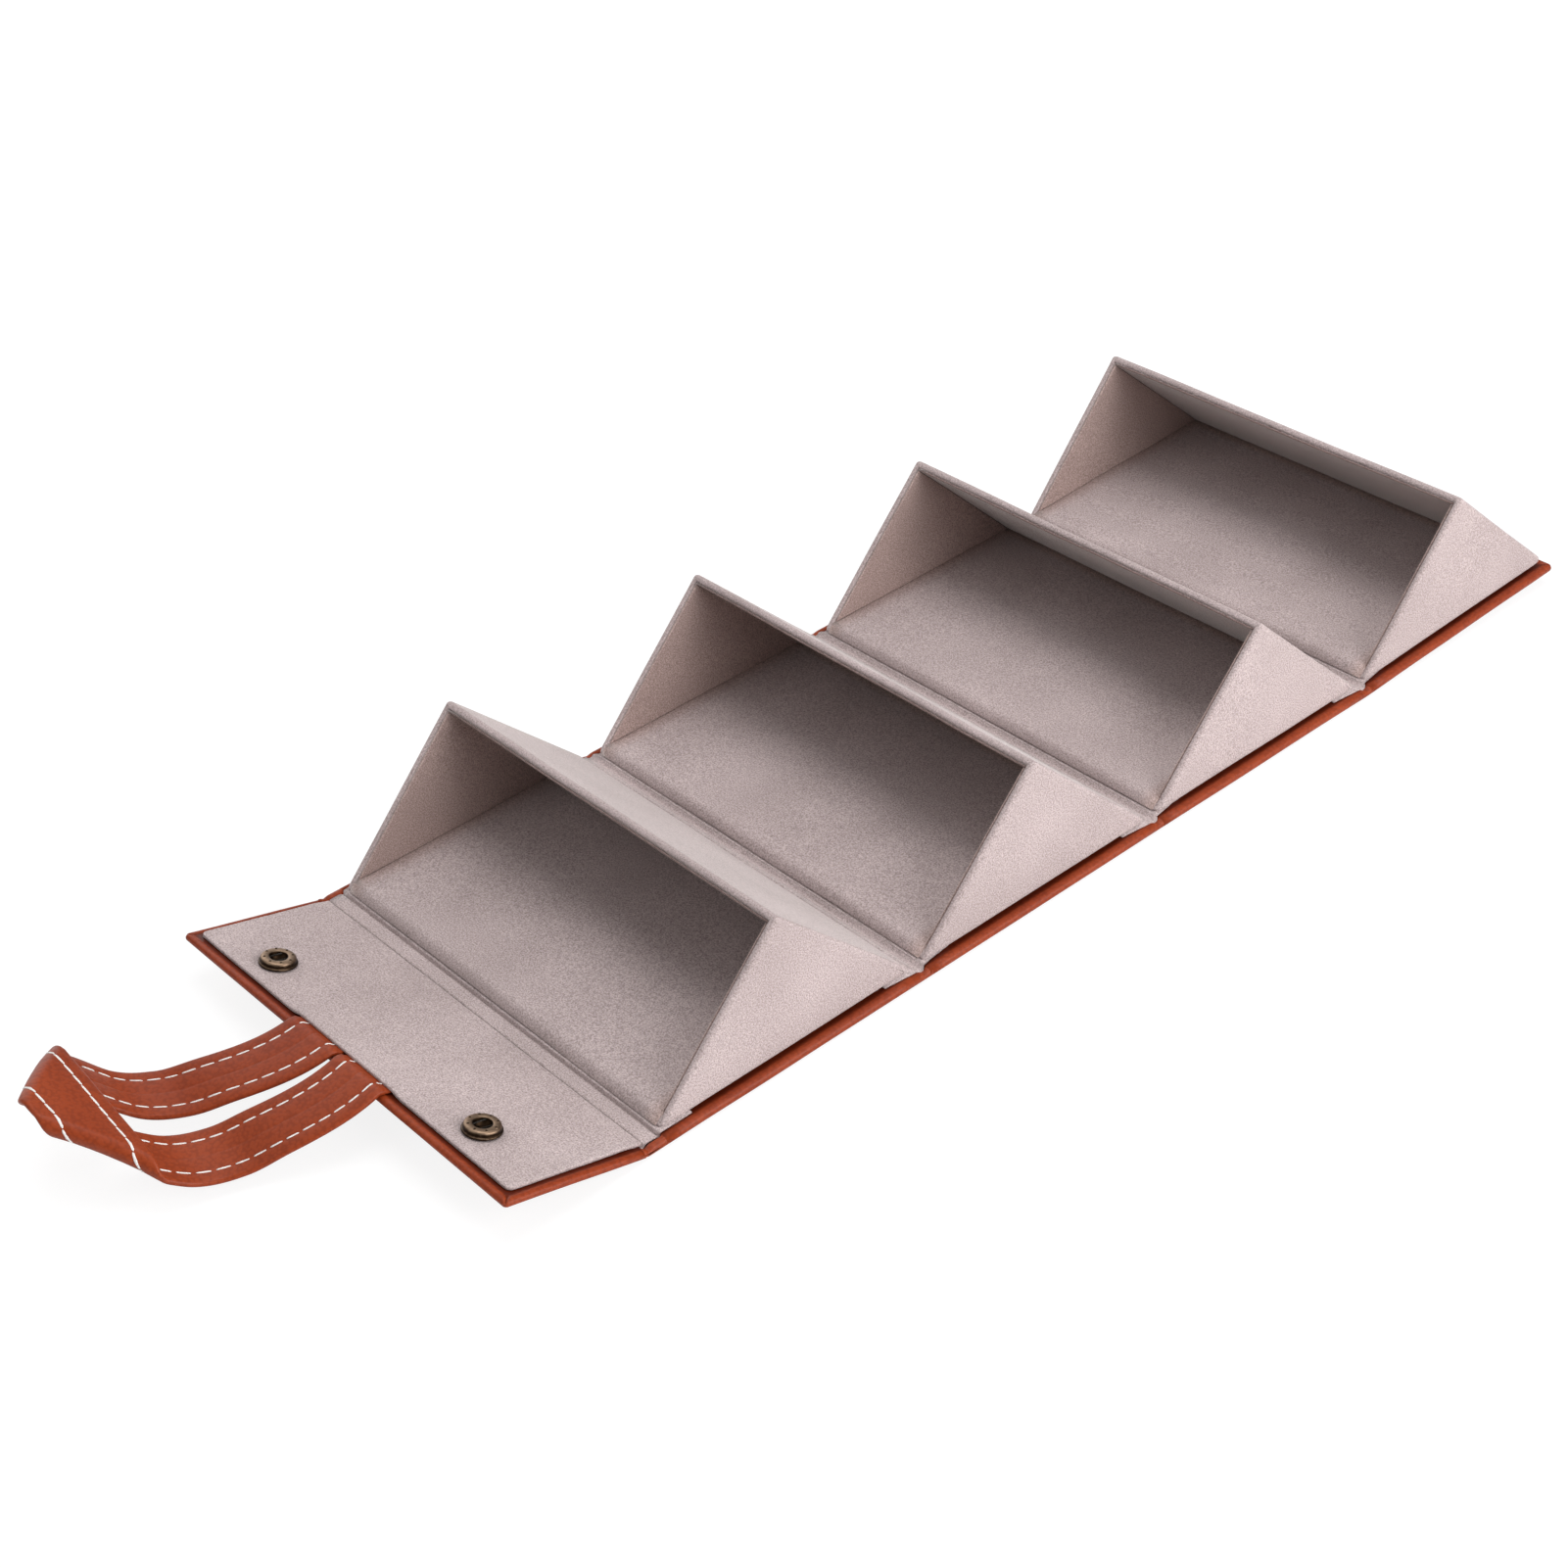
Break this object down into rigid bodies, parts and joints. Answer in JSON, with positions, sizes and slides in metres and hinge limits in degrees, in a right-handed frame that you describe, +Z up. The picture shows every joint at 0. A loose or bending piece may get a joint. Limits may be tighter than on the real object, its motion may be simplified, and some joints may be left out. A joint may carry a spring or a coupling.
{
  "type": "sunglasses storage case",
  "caption": "Fold-up sunglasses case: velvet wedge trays on a jointed leather cover that roll into a block, shut by a snap flap with a folded leather strap loop.",
  "frame": {"origin": "on the leather's underside, under the middle of the first tray", "axes": "+X along a tray to the right as seen from the flap, +Y along the row away from the flap, +Z up"},
  "size_m": [0.175, 0.5682, 0.0569],
  "materials": {
    "tan_leather": "semi-gloss tan leather with a fine pebbled grain",
    "grey_velvet": "matt grey-beige velvet with a short nap",
    "greyboard": "bare pressed board, hidden",
    "antique_brass": "darkened brass, rubbed brighter on its edges",
    "spring_steel": "drawn wire"
  },
  "bodies": {
    "tray_1": {"panel_1_leather": "tan_leather", "panel_1_board": "greyboard", "tray_1_outer_velvet": "grey_velvet", "tray_1_inner_velvet": "grey_velvet", "tray_1_base_board": "greyboard", "tray_1_back_board": "greyboard", "tray_1_left_end_board": "greyboard", "tray_1_right_end_board": "greyboard", "fold_1_2_leather": "tan_leather", "fold_1_2_lining": "grey_velvet", "flap_fold_leather": "tan_leather", "flap_fold_lining": "grey_velvet"},
    "flap": {"flap_leather": "tan_leather", "flap_board": "greyboard", "flap_lining": "grey_velvet", "snap_left_socket": "antique_brass", "snap_left_spring": "spring_steel", "snap_left_cap": "antique_brass", "snap_right_socket": "antique_brass", "snap_right_spring": "spring_steel", "snap_right_cap": "antique_brass", "strap_end_far": "tan_leather", "strap_end_near": "tan_leather"},
    "strap": {"handle_strap": "tan_leather"},
    "tray_2": {"panel_2_leather": "tan_leather", "panel_2_board": "greyboard", "tray_2_outer_velvet": "grey_velvet", "tray_2_inner_velvet": "grey_velvet", "tray_2_base_board": "greyboard", "tray_2_back_board": "greyboard", "tray_2_left_end_board": "greyboard", "tray_2_right_end_board": "greyboard", "fold_2_3_leather": "tan_leather", "fold_2_3_lining": "grey_velvet"},
    "tray_3": {"panel_3_leather": "tan_leather", "panel_3_board": "greyboard", "tray_3_outer_velvet": "grey_velvet", "tray_3_inner_velvet": "grey_velvet", "tray_3_base_board": "greyboard", "tray_3_back_board": "greyboard", "tray_3_left_end_board": "greyboard", "tray_3_right_end_board": "greyboard", "fold_3_4_leather": "tan_leather", "fold_3_4_lining": "grey_velvet"},
    "tray_4": {"panel_4_leather": "tan_leather", "panel_4_board": "greyboard", "tray_4_outer_velvet": "grey_velvet", "tray_4_inner_velvet": "grey_velvet", "tray_4_base_board": "greyboard", "tray_4_back_board": "greyboard", "tray_4_left_end_board": "greyboard", "tray_4_right_end_board": "greyboard", "snap_left_stud": "antique_brass", "snap_left_rivet": "antique_brass", "snap_right_stud": "antique_brass", "snap_right_rivet": "antique_brass"}
  },
  "joints": [
    {"name": "flap_fold", "type": "hinge", "parent": "tray_1", "child": "flap", "pos_m": [0, -0.05828, 0.0013], "axis": [-1, 0, 0], "range_deg": [-16, 69.06], "deforming": ["flap_fold_leather", "flap_fold_lining"]},
    {"name": "strap_swing", "type": "hinge", "parent": "flap", "child": "strap", "pos_m": [0, -0.10964, 0.01847], "axis": [1, 0, 0], "range_deg": [-80, 25]},
    {"name": "fold_1_2", "type": "hinge", "parent": "tray_1", "child": "tray_2", "pos_m": [0, 0.0536, 0.00188], "axis": [1, 0, 0], "range_deg": [0, 90], "deforming": ["fold_1_2_leather", "fold_1_2_lining"]},
    {"name": "fold_2_3", "type": "hinge", "parent": "tray_2", "child": "tray_3", "pos_m": [0, 0.1608, 0.00188], "axis": [1, 0, 0], "range_deg": [0, 90], "deforming": ["fold_2_3_leather", "fold_2_3_lining"]},
    {"name": "fold_3_4", "type": "hinge", "parent": "tray_3", "child": "tray_4", "pos_m": [0, 0.268, 0.00188], "axis": [1, 0, 0], "range_deg": [-2.09, 87.91], "deforming": ["fold_3_4_leather", "fold_3_4_lining"]}
  ]
}
